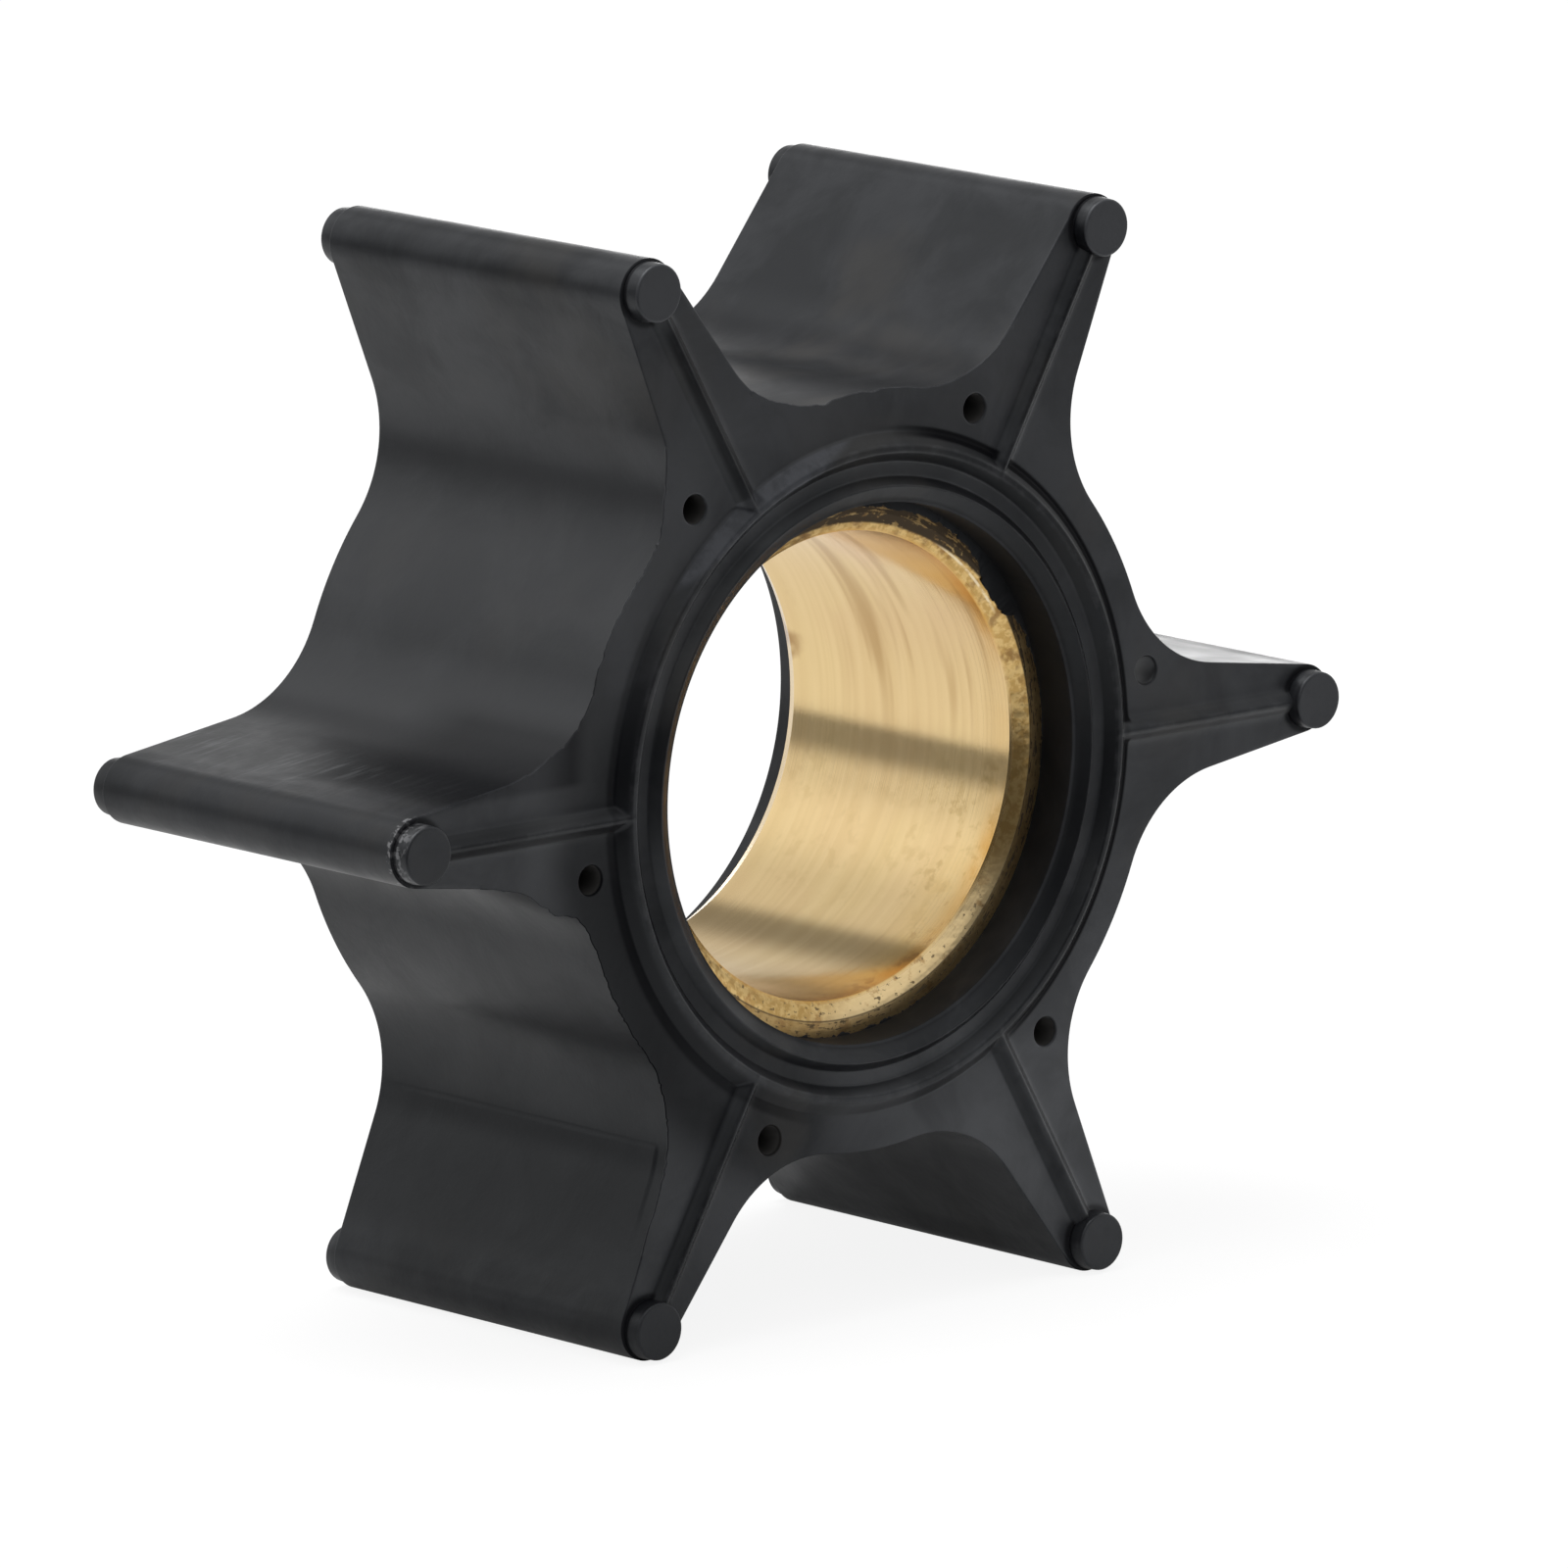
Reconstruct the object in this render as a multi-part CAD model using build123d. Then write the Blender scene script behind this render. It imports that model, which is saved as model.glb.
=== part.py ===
from build123d import *
import math
import os

# Rubber pump impeller: one moulded rubber body with six vanes, round a brass
# bush that is moulded into its hub. The shaft lies along Y, the front face
# looks towards -Y, and the origin is the middle of the bore. The impeller
# stands on the tips of its two lower vanes.

# Vanes, in millimetres and degrees
VANE_COUNT = 6
VANE_WIDTH = 23.4  # along the shaft, between the flat end faces
VANE_REACH = 11.45  # from the hub's outside to the middle of the round tip
TIP_RADIUS = 1.88
FLANK_TAPER = 8.0  # each flank leans this much from the vane's middle plane
ROOT_RADIUS = 7.3  # hollow curve between flank and hub
RIM_BEVEL = 0.1  # takes off the sharp rim of both end faces

# Brass bush
BORE_RADIUS = 12.7
BUSH_WALL = 3.2
BUSH_SETBACK = 2.4  # from the vanes' end faces down to the bush's ends
FRONT_BEVEL_WIDE = 1.0
FRONT_BEVEL_DEEP = 0.53
BACK_BEVEL_WIDE = 0.45
BACK_BEVEL_DEEP = 0.8
KEYWAY_WIDTH = 4.8
KEYWAY_DEPTH = 1.6
KEYWAY_ANGLE = 180.0
FLUTE_COUNT = 12  # grooves outside the bush that key it into the rubber
FLUTE_RADIUS = 0.6

# Rings moulded on the end faces, each size measured outwards from the last
BUSH_FACE_SHOWN = 1.9  # from the bore out to the wall of the recess
LIP_INNER_SLOPE = 0.93
LIP_OUTER_SLOPE = 0.52
LIP_HEIGHT = 0.6
LAND_WIDTH = 0.75  # flat floor between lip and ring
RING_INNER_SLOPE = 0.55
RING_CREST = 0.35
RING_OUTER_SLOPE = 0.75
HUB_MARGIN = 2.05  # flat face outside the ring
RING_HEIGHT = 0.68

# Ribs and buttons on the end faces of the vanes
RIB_HEIGHT = 0.68
RIB_CREST = 0.3
RIB_FOOT = 1.36
BUTTON_HEIGHT = 1.0
BUTTON_OFFSET = 0.15  # further out than the middle of the round tip
BUTTON_LEDGE = 0.02  # least flat left round the button, inside the bevelled rim
BUTTON_DRAFT = 0.05  # the button is this much smaller in radius at its top
BUTTON_BEVEL = 0.1

# Small moulding holes beside the vanes, on the front face only
HOLE_RADIUS = 0.78
HOLE_DEPTH = 4.0
HOLE_INSET = 0.23  # hole centres inside the hub's outer circle
HOLE_ANGLE = 8.7  # from each vane's middle plane
CLOSED_HOLE = 0  # the vane whose hole was closed by rubber in moulding
DIMPLE_DEPTH = 0.2

# Worked out from the sizes above
FACE = VANE_WIDTH / 2
RECESS_RADIUS = BORE_RADIUS + BUSH_FACE_SHOWN
LIP_CREST_RADIUS = RECESS_RADIUS + LIP_INNER_SLOPE
LIP_FOOT_RADIUS = LIP_CREST_RADIUS + LIP_OUTER_SLOPE
RING_INNER_FOOT = LIP_FOOT_RADIUS + LAND_WIDTH
RING_INNER_CREST = RING_INNER_FOOT + RING_INNER_SLOPE
RING_OUTER_CREST = RING_INNER_CREST + RING_CREST
RING_OUTER_FOOT = RING_OUTER_CREST + RING_OUTER_SLOPE
HUB_RADIUS = RING_OUTER_FOOT + HUB_MARGIN
TIP_CIRCLE = HUB_RADIUS + VANE_REACH
BUTTON_CIRCLE = TIP_CIRCLE + BUTTON_OFFSET
BUTTON_FOOT_RADIUS = TIP_RADIUS - RIM_BEVEL - BUTTON_LEDGE - BUTTON_OFFSET
BUSH_RADIUS = BORE_RADIUS + BUSH_WALL
BUSH_END = FACE - BUSH_SETBACK
PITCH = 360 / VANE_COUNT


def turned(point, degrees):
    """A point of the end face, turned about the shaft."""
    return Vector(*point).rotate(Axis.Z, degrees)


def vane_points():
    """Tangent points on the upper side of the vane that lies along X.

    The flank is a straight line tangent to the round tip. The root curve
    touches that line and the hub's circle, so its centre lies one root
    radius off both of them.
    """
    lean = math.radians(FLANK_TAPER)
    across = Vector(math.sin(lean), math.cos(lean))
    along = Vector(math.cos(lean), -math.sin(lean))
    off_flank = TIP_CIRCLE * math.sin(lean) + TIP_RADIUS + ROOT_RADIUS
    off_hub = HUB_RADIUS + ROOT_RADIUS
    centre = across * off_flank + along * math.sqrt(off_hub**2 - off_flank**2)
    tip = Vector(TIP_CIRCLE, 0) + across * TIP_RADIUS
    flank_end = centre - across * ROOT_RADIUS
    hub_end = centre * (HUB_RADIUS / off_hub)
    halfway = (flank_end + hub_end) / 2 - centre
    root_middle = centre + halfway.normalized() * ROOT_RADIUS
    return tip, flank_end, root_middle, hub_end


def below(point):
    """The same point on the lower side of the vane."""
    return Vector(point.X, -point.Y)


def vane_edges(degrees):
    """The outline of one vane and of the hub as far as the next vane."""
    tip, flank_end, root_middle, hub_end = vane_points()
    crown = Vector(TIP_CIRCLE + TIP_RADIUS, 0)
    hub_middle = turned((HUB_RADIUS, 0), PITCH / 2)
    next_root = turned(below(hub_end), PITCH)
    arcs = [
        (below(hub_end), below(root_middle), below(flank_end)),
        (below(tip), crown, tip),
        (flank_end, root_middle, hub_end),
        (hub_end, hub_middle, next_root),
    ]
    lines = [(below(flank_end), below(tip)), (tip, flank_end)]
    edges = [ThreePointArc(*(turned(p, degrees) for p in arc)) for arc in arcs]
    edges += [Line(*(turned(p, degrees) for p in line)) for line in lines]
    return edges


def star_prism():
    """Hub and vanes as one prism along the shaft, with bevelled rims."""
    edges = []
    for number in range(VANE_COUNT):
        edges += vane_edges(number * PITCH)
    outline = make_face(Wire(edges))
    prism = extrude(outline, FACE, both=True)
    rims = prism.edges().group_by(Axis.Z)
    return chamfer(rims[0] + rims[-1], RIM_BEVEL)


def ring_profile():
    """Half section of the outer ring, radius by height over the face."""
    return Polygon(
        (RING_INNER_FOOT, 0),
        (RING_OUTER_FOOT, 0),
        (RING_OUTER_CREST, RING_HEIGHT),
        (RING_INNER_CREST, RING_HEIGHT),
        align=None,
    )


def lip_profile():
    """Half section of the sealing lip, sloping in to the recess."""
    return Polygon(
        (RECESS_RADIUS, 0),
        (LIP_FOOT_RADIUS, 0),
        (LIP_CREST_RADIUS, LIP_HEIGHT),
        align=None,
    )


def end_rings():
    """The raised ring and the lip, standing on the front face."""
    ring = revolve(Plane.XZ * ring_profile(), Axis.Z)
    lip = revolve(Plane.XZ * lip_profile(), Axis.Z)
    return Pos(Z=FACE) * (ring + lip)


def rib():
    """Low ridge along a vane's end face, from the ring to the button."""
    section = Polygon(
        (-RIB_FOOT / 2, 0),
        (RIB_FOOT / 2, 0),
        (RIB_CREST / 2, RIB_HEIGHT),
        (-RIB_CREST / 2, RIB_HEIGHT),
        align=None,
    )
    start = (RING_INNER_CREST + RING_OUTER_CREST) / 2
    ridge = extrude(Plane.YZ * section, BUTTON_CIRCLE - start)
    return Pos(start, 0, FACE) * ridge


def button():
    """Round button on the end of a vane's tip."""
    cone = Cone(
        BUTTON_FOOT_RADIUS,
        BUTTON_FOOT_RADIUS - BUTTON_DRAFT,
        BUTTON_HEIGHT,
        align=(Align.CENTER, Align.CENTER, Align.MIN),
    )
    rim = cone.edges().sort_by(Axis.Z)[-1]
    return Pos(BUTTON_CIRCLE, 0, FACE) * chamfer(rim, BUTTON_BEVEL)


def end_relief():
    """All that stands proud of the front face."""
    vane_relief = rib() + button()
    relief = end_rings()
    for number in range(VANE_COUNT):
        relief += Rot(Z=number * PITCH) * vane_relief
    return relief


def small_holes():
    """The blind moulding holes, and the dimple of the closed one."""
    radius = HUB_RADIUS - HOLE_INSET
    holes = Part()
    for number in range(VANE_COUNT):
        depth = DIMPLE_DEPTH if number == CLOSED_HOLE else HOLE_DEPTH
        pin = Cylinder(
            HOLE_RADIUS,
            depth,
            align=(Align.CENTER, Align.CENTER, Align.MAX),
        )
        holes += Rot(Z=number * PITCH + HOLE_ANGLE) * Pos(radius, 0, FACE) * pin
    return holes


def bush_blank():
    """The bush's outside: a cylinder with keying flutes along it."""
    blank = Cylinder(BUSH_RADIUS, 2 * BUSH_END)
    flute = Cylinder(FLUTE_RADIUS, 2 * BUSH_END)
    for number in range(FLUTE_COUNT):
        turn = Rot(Z=(number + 0.5) * 360 / FLUTE_COUNT)
        blank -= turn * Pos(BUSH_RADIUS, 0, 0) * flute
    return blank


def bore_tool():
    """The bore with its bevelled mouths, and the keyway beside it."""
    bore = Polygon(
        (0, -BUSH_END),
        (BORE_RADIUS + BACK_BEVEL_WIDE, -BUSH_END),
        (BORE_RADIUS, -BUSH_END + BACK_BEVEL_DEEP),
        (BORE_RADIUS, BUSH_END - FRONT_BEVEL_DEEP),
        (BORE_RADIUS + FRONT_BEVEL_WIDE, BUSH_END),
        (0, BUSH_END),
        align=None,
    )
    keyway = Box(
        BORE_RADIUS + KEYWAY_DEPTH,
        KEYWAY_WIDTH,
        2 * BUSH_END,
        align=(Align.MIN, Align.CENTER, Align.CENTER),
    )
    return revolve(Plane.XZ * bore, Axis.Z) + Rot(Z=KEYWAY_ANGLE) * keyway


def rubber_body():
    """The moulding: hub, vanes, end relief, recesses and the bush's seat."""
    relief = end_relief()
    body = star_prism() + relief + mirror(relief, Plane.XY)
    body -= Cylinder(RECESS_RADIUS, VANE_WIDTH + 2 * LIP_HEIGHT)
    body -= bush_blank()
    return body - small_holes()


def brass_bush():
    """The bush, with its end faces set back inside the rubber."""
    return bush_blank() - bore_tool()


def lay_along_y(piece):
    """Turns the shaft from Z to Y, with the front face towards -Y."""
    return Plane.XZ.location * piece


os.makedirs("parts", exist_ok=True)
for name, piece in (("vane_body", rubber_body()), ("hub_bush", brass_bush())):
    export_step(lay_along_y(piece), f"parts/{name}.step")
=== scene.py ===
import math

import bmesh
import bpy
import numpy as np
from mathutils import Matrix, Vector


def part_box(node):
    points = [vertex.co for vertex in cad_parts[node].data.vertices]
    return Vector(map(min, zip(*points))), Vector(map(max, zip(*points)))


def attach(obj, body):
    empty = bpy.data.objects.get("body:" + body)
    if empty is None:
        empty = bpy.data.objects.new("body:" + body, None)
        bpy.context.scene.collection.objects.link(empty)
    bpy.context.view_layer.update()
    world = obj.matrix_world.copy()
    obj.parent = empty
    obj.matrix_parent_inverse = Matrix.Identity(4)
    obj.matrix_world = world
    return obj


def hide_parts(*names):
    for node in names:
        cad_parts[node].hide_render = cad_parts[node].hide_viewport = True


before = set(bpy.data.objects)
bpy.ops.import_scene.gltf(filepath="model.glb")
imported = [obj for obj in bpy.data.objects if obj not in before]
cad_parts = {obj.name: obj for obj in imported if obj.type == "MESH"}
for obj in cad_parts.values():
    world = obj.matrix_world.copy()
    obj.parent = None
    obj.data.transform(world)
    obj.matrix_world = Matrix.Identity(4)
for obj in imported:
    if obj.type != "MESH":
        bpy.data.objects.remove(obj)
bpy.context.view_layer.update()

MM = 0.001

# Sizes of the moulding in millimetres, the overall ones taken from the frame
RUBBER_LOW, RUBBER_HIGH = (np.array(corner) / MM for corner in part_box("vane_body"))
BUSH_LOW, BUSH_HIGH = (np.array(corner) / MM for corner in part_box("hub_bush"))
BUTTON_HEIGHT = 1.0
FACE = (RUBBER_HIGH[1] - RUBBER_LOW[1]) / 2 - BUTTON_HEIGHT
BUSH_END = (BUSH_HIGH[1] - BUSH_LOW[1]) / 2
VANE_COUNT = 6
PITCH = 2 * math.pi / VANE_COUNT
TIP_RADIUS = 1.88
TIP_CIRCLE = 31.95
BUTTON_CIRCLE = 32.1
HUB_RADIUS = 20.5
ROOT_RADIUS = 7.3
FLANK_TAPER = math.radians(8.0)
RIM_ROUND = 0.08
EDGE_ROUND = 0.05
NEAR_EDGE = 0.04  # from a rounded edge to the grid's next row
RUBBER_SHARP = math.radians(40)  # an edge turned by more than this stays sharp

# Lip and ring on the end faces, and the edge of the zone that holds them
RECESS_RADIUS = 14.6
LIP_CREST = 15.53
LIP_FOOT = 16.05
LIP_HEIGHT = 0.6
LIP_START = 0.02  # height of the lip's soft foot over the recess's wall
RING_INNER_FOOT = 16.8
RING_INNER_CREST = 17.35
RING_OUTER_CREST = 17.7
RING_OUTER_FOOT = 18.45
RING_HEIGHT = 0.68
RING_ZONE = 18.6

# Ribs, with the lines of the grid that runs over them, from the vane's middle plane out
RIB_HEIGHT = 0.66
RIB_CREST = 0.15
RIB_FOOT = 0.68
RIB_SOFTNESS = 0.2
RIB_FILLET = 0.15
RIB_LINES = np.array([0, 0.08, 0.13, 0.18, 0.25, 0.4, 0.55, 0.64, 0.70, 0.76])

BUTTON_FOOT_RADIUS = 1.61
BUTTON_TOP_RADIUS = 1.56
BUTTON_ROUND = 0.12
BUTTON_ROOT = 0.5  # how deep the button's solid stands in the vane
BUTTON_COLUMNS = 56

HOLE_RADIUS = 0.78
HOLE_DEPTH = 4.0
HOLE_CIRCLE = 20.27
HOLE_ANGLE = math.radians(8.7)
HOLE_FLARE = 0.12
HOLE_COLUMNS = 40
CLOSED_HOLE = 0  # number of the vane whose hole is only a dimple
DIMPLE_DEPTH = 0.2

# Sizes of the brass bush, its bevels by width and depth
BORE_RADIUS = 12.7
BUSH_RADIUS = 15.9
BUSH_COLUMNS = 480
FRONT_BEVEL = (1.0, 0.53)
BACK_BEVEL = (0.45, 0.8)
BEVEL_RIM = BORE_RADIUS + FRONT_BEVEL[0]
KEYWAY_HALF = 2.4
KEYWAY_FLOOR = 14.3
FLUTE_COUNT = 12
FLUTE_RADIUS = 0.6
BRASS_SHARP = math.radians(25)

# Thin skin of flash on the front rim: degrees round the shaft, width in millimetres
FLASH = np.array([
    (66, 0), (71, 0.18), (84, 0.27), (88, 0.26), (90, 0.12), (92, 0.25), (98, 0.24), (99.5, 0.1),
    (101, 0.22), (107, 0.27), (112, 0), (127, 0), (131, 0.42), (135, 0.2), (142, 0.26), (150, 0.52),
    (157, 0.54), (163, 0.33), (169, 0.22), (171, 0.37), (174, 0), (185, 0), (186.5, 0.2), (188, 0.68),
    (190, 0.86), (191.3, 0.56), (193, 0.2), (195, 0.12), (198, 0.3), (210, 0.25), (230, 0.2), (236, 0),
])
FLASH_THICK = 0.14
FLASH_STEP = 0.14  # between its points, along the rim
FLASH_ROOT = 0.35  # how far its solid reaches into the rubber
FLASH_CALM = (88, 30, 0.3)  # degrees, reach in degrees and roughness of its calm stretch

# Thin film of rubber on the bush's front end: degrees round the shaft, inner radius
FILM = np.array([
    (-168, 14.55), (-150, 14.2), (-135, 14.2), (-105, 14.5), (-60, 14.66), (-20, 14.66), (10, 14.6),
    (24, 14.4), (28, 14.1), (31, 13.5), (37, 13.42), (43, 13.6), (47, 14.1), (60, 14.3), (75, 14.1),
    (100, 14.0), (130, 14.0), (150, 14.1), (168, 14.55),
])
FILM_THICK = 0.04
FILM_COLUMNS = 1400

# Camera, as fitted to the photograph
CAMERA_TURN = math.radians(-41.994)
CAMERA_RISE = math.radians(11.010)
CAMERA_DISTANCE = 870.3
CAMERA_LENS = 371.8
CAMERA_SENSOR = 36
CAMERA_SHIFT = (0.0363, -0.0261)
CAMERA_AIM = (0.0, -0.14, 0.0)

# Table edges, measured across and along the line of sight
TABLE_LEFT = -330.0
TABLE_RIGHT = 200.0
TABLE_FRONT = -90.0
TABLE_BACK = 2000.0
TABLE_TOP = RUBBER_LOW[2] - 0.01
TABLE_GREY = (0.7, 0.7, 0.7, 1)
TABLE_GLOW = 1.1
TABLE_SEEN = 0.8  # share of the glow that the camera sees
TABLE_MIRRORED = 0.15  # share of the glow that shiny faces mirror

# Directions from the object to parts of the room, the gap's square to it
ROOM_LEFT = (-0.743, 0.669, 0)
ROOM_BACK = (0.669, 0.743, 0)
ACROSS_GAP = (-0.9617, 0.2738, 0)
TOP_BOX = (0.25, -0.62, 0.743)
TO_CAMERA = (-0.6568, -0.7295, 0.1910)

# The lamp over the object: place, sides and power
LAMP_PLACE = (-120, 70, 600)
LAMP_SIDES = (420, 420)
LAMP_POWER = 3.0

WHITE = (1, 1, 1, 1)

# Colours of the rubber: its own blacks and what lies on it, with painted light and shade among them
# near-black laid on as painted shade
PAINTED_SHADE_BLACK = (0.0012, 0.0014, 0.0022, 1)
DEEP_BLACK = (0.0015, 0.0018, 0.0030, 1)
# near-black laid into corners and creases as painted shade
SEAM_SHADE = (0.004, 0.004, 0.005, 1)
CLOUDY_BLACK = (0.0165, 0.0172, 0.0195, 1)
WARM_BLOOM = (0.0230, 0.0207, 0.0180, 1)
# pale grey laid on the hub walls on the upper left as painted light
LIT_WALL_GREY = (0.0280, 0.0285, 0.0300, 1)
# grey of rubbed faces and buttons, on the faces partly painted light and shade
RUBBED_AND_LIT_GREY = (0.050, 0.0515, 0.0565, 1)
# bluish grey laid on the ring's upper left as a painted highlight
RING_HIGHLIGHT_GREY = (0.052, 0.054, 0.062, 1)
WORN_GREY = (0.060, 0.062, 0.065, 1)
CREST_GREY = (0.070, 0.071, 0.076, 1)
CHIP_GREY = (0.16, 0.16, 0.165, 1)
HOLE_DUST = (0.060, 0.058, 0.056, 1)
COOL_MIRROR = (0.92, 0.96, 1.0, 1)

# Finish of the rubber: roughness, strength of the mirror share, heights in millimetres
CLOUD_ROUGHNESS = (0.40, 0.31)
TIP_ROUGHNESS = 0.06
SHEEN = 0.38
SEAM_SHEEN = 0.03
# sheen that follows the faces' grey, partly rubbed wear and partly painted light
WEAR_AND_LIGHT_SHEEN = 0.32
LEAST_SHEEN = 0.02
GRAIN_RELIEF = 0.005
CLOUD_RELIEF = 0.03
MOTTLE_RELIEF = (0.007, 0.022)
PANEL_RELIEF = 0.06

# Colours of the brass and of what lies on it, with painted highlights, light and shade among them
TURNED_BRASS = (0.765, 0.572, 0.282, 1)
BRIGHT_TURNED = (0.815, 0.620, 0.318, 1)
ROSY_BRASS = (0.735, 0.505, 0.280, 1)
TARNISH = (0.71, 0.48, 0.17, 1)
BROWN_ARC = (0.42, 0.25, 0.09, 1)
FRECKLE = (0.50, 0.34, 0.13, 1)
AMBER_EDGE = (0.63, 0.35, 0.09, 1)
BEVEL_DARK = (0.55, 0.35, 0.12, 1)
BEVEL_GOLD = (0.73, 0.51, 0.21, 1)
# bright gold laid on the bevel's lower right as a painted highlight
BEVEL_HIGHLIGHT = (0.95, 0.72, 0.38, 1)
# dark brown laid on the bevel below its right side as painted shade
BEVEL_SHADE_BROWN = (0.22, 0.135, 0.06, 1)
REAR_STAIN = (0.30, 0.15, 0.05, 1)
LOW_FLECK = (0.42, 0.22, 0.07, 1)
BROWN_SPOT = (0.22, 0.11, 0.04, 1)
# pale gold laid round the bevel's middle as a painted glint
PAINTED_EDGE_GLINT = (0.93, 0.80, 0.55, 1)
# grime made lighter low down as painted light
LIT_LOW_GRIME = (0.20, 0.15, 0.09, 1)
HIGH_GRIME = (0.10, 0.075, 0.05, 1)

# Finish of the brass
BRASS_ROUGHNESS = 0.14
GRIME_ROUGHNESS = 0.5
MARK_RELIEF = 0.006
DENT_RELIEF = 0.03

# Greyer end faces, partly rubbed wear and partly painted light and shade: degrees of the vane round the
# shaft, and how much greyer
FACE_WEAR_AND_LIGHT = ((60, 0.2), (120, 0.22), (180, 0.15), (300, 0.4))


# Meshes

def mesh_object(name, points, faces):
    """A smooth-shaded mesh object from points in millimetres and a list of faces."""
    mesh = bpy.data.meshes.new(name)
    mesh.from_pydata((points * MM).tolist(), [], faces)
    mesh.update()
    mesh.shade_smooth()
    piece = bpy.data.objects.new(name, mesh)
    bpy.context.scene.collection.objects.link(piece)
    return piece


def ring_faces(rows, columns, closed_rows):
    """Quads of a grid whose columns close on themselves, rows too if asked."""
    numbers = np.arange(rows * columns).reshape(rows, columns)
    across = np.roll(numbers, -1, axis=1)
    corners = [numbers, across, np.roll(across, -1, axis=0), np.roll(numbers, -1, axis=0)]
    quads = np.stack(corners, axis=-1)
    if not closed_rows:
        quads = quads[:-1]
    return quads.reshape(-1, 4).tolist()


def loop_solid(name, rows):
    """A closed solid from rows of points that run round the shaft."""
    return mesh_object(name, np.concatenate(rows), ring_faces(len(rows), len(rows[0]), True))


def lay_out(flat, along):
    """Points from their x and z and their place along the shaft."""
    return np.insert(flat, 1, along, axis=1)


def loop_row(angle, radius, along):
    """A row round the shaft: x and z are radius times cosine and sine of the angle."""
    return lay_out(np.stack([radius * np.cos(angle), radius * np.sin(angle)], -1), along)


def soft_ramp(distance, foot, crest, height, softness):
    """Rises straight from 0 at the foot to height at the crest, with soft bends.

    It is s(x) - s(x - height), where x is the straight line's own height and
    s(x) = (x + sqrt(x * x + softness * softness)) / 2.
    """
    rise = (distance - foot) * (height / (crest - foot))

    def bend(x):
        """The soft bend s(x)."""
        return (x + np.sqrt(x * x + softness * softness)) / 2

    return bend(rise) - bend(rise - height)


def soft_max(a, b, reach):
    """The larger of two heights, with a small fillet where both stand proud.

    The fillet adds a quarter of reach where the heights are equal, and falls
    off with the square of their difference, to nothing at reach.
    """
    near = np.clip(reach - np.abs(a - b), 0, None) / reach
    proud = np.clip(np.minimum(a, b) / reach, 0, 1)
    return np.maximum(a, b) + near * near * reach / 4 * proud


def vane_frame(x, z):
    """Distance along and across the nearest vane's middle plane.

    The angle is taken from the nearest whole pitch, and the distances are
    the radius times its cosine and sine.
    """
    angle = np.arctan2(z, x)
    turn = np.round(angle / PITCH) * PITCH
    radius = np.hypot(x, z)
    return radius * np.cos(angle - turn), radius * np.sin(angle - turn)


def ring_height(radius):
    """Height of the sealing ring and of the lip over the end face.

    Each is the lesser of two soft ramps, one up its inner side and one up
    its outer side, and the greater of ring and lip counts.
    """
    outer, inner, lip_outer, lip_inner = (
        soft_ramp(radius, foot, crest, height, EDGE_ROUND)
        for foot, crest, height in (
            (RING_OUTER_FOOT, RING_OUTER_CREST, RING_HEIGHT),
            (RING_INNER_FOOT, RING_INNER_CREST, RING_HEIGHT),
            (LIP_FOOT, LIP_CREST, LIP_HEIGHT),
            (RECESS_RADIUS, LIP_CREST, LIP_HEIGHT),
        )
    )
    return np.maximum(np.minimum(outer, inner), np.minimum(lip_outer, lip_inner))


def relief(x, z):
    """Height of the end face's relief: rings, with the ribs run into them.

    A rib is a soft ramp of the distance from its vane's middle plane. Ring
    and rib meet in the larger of both heights, with a fillet.
    """
    radius = np.hypot(x, z)
    along, across = vane_frame(x, z)
    rib = soft_ramp(np.abs(across), RIB_FOOT, RIB_CREST, RIB_HEIGHT, RIB_SOFTNESS)
    rib = np.where((radius > RING_INNER_CREST) & (along < BUTTON_CIRCLE), rib, 0)
    return soft_max(ring_height(radius), rib, RIB_FILLET)


def half_vane():
    """Outline of half a vane, from its tip to the middle of the next gap.

    It is an arc of the round tip, a straight flank that touches the arc, the
    hollow root curve that touches flank and hub, and an arc of the hub. The
    root's centre lies one root radius off both flank and hub.

    Returns the outline's points, its outward normals, and for each point the
    angle on the ring zone's edge from which its grid line starts. The lines
    of the tip and the flank run parallel to the vane's middle plane.
    """
    sine, cosine = math.sin(FLANK_TAPER), math.cos(FLANK_TAPER)
    off_flank = TIP_CIRCLE * sine + TIP_RADIUS + ROOT_RADIUS
    off_hub = HUB_RADIUS + ROOT_RADIUS
    reach = math.sqrt(off_hub ** 2 - off_flank ** 2)
    centre = np.array([sine * off_flank + cosine * reach, cosine * off_flank - sine * reach])
    last_line = math.asin(RIB_LINES[-1] / TIP_RADIUS)
    tip_end = math.pi / 2 - FLANK_TAPER
    tip_angle = np.concatenate([np.arcsin(RIB_LINES / TIP_RADIUS), np.linspace(last_line, tip_end, 11)[1:]])
    tip_normal = np.stack([np.cos(tip_angle), np.sin(tip_angle)], -1)
    tip = tip_normal * TIP_RADIUS + [TIP_CIRCLE, 0]
    normal = np.array([sine, cosine])
    flank_end = centre - normal * ROOT_RADIUS
    flank = tip[-1] + (flank_end - tip[-1]) * np.linspace(0, 1, 10)[1:, None]
    hub_angle = math.atan2(centre[1], centre[0])
    root_angle = np.linspace(tip_end + math.pi, hub_angle + math.pi, 23)[1:]
    root_normal = -np.stack([np.cos(root_angle), np.sin(root_angle)], -1)
    root = centre - root_normal * ROOT_RADIUS
    gap_angle = np.linspace(hub_angle, PITCH / 2, 7)[1:]
    gap_normal = np.stack([np.cos(gap_angle), np.sin(gap_angle)], -1)
    gap = gap_normal * HUB_RADIUS
    points = np.concatenate([tip, flank, root, gap])
    normals = np.concatenate([tip_normal, np.repeat(normal[None], len(flank), 0), root_normal, gap_normal])
    straight = np.arcsin(np.concatenate([tip, flank])[:, 1] / RING_ZONE)
    fanned = np.linspace(straight[-1], PITCH / 2, len(root) + len(gap) + 1)[1:]
    return points, normals, np.concatenate([straight, fanned])


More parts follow.
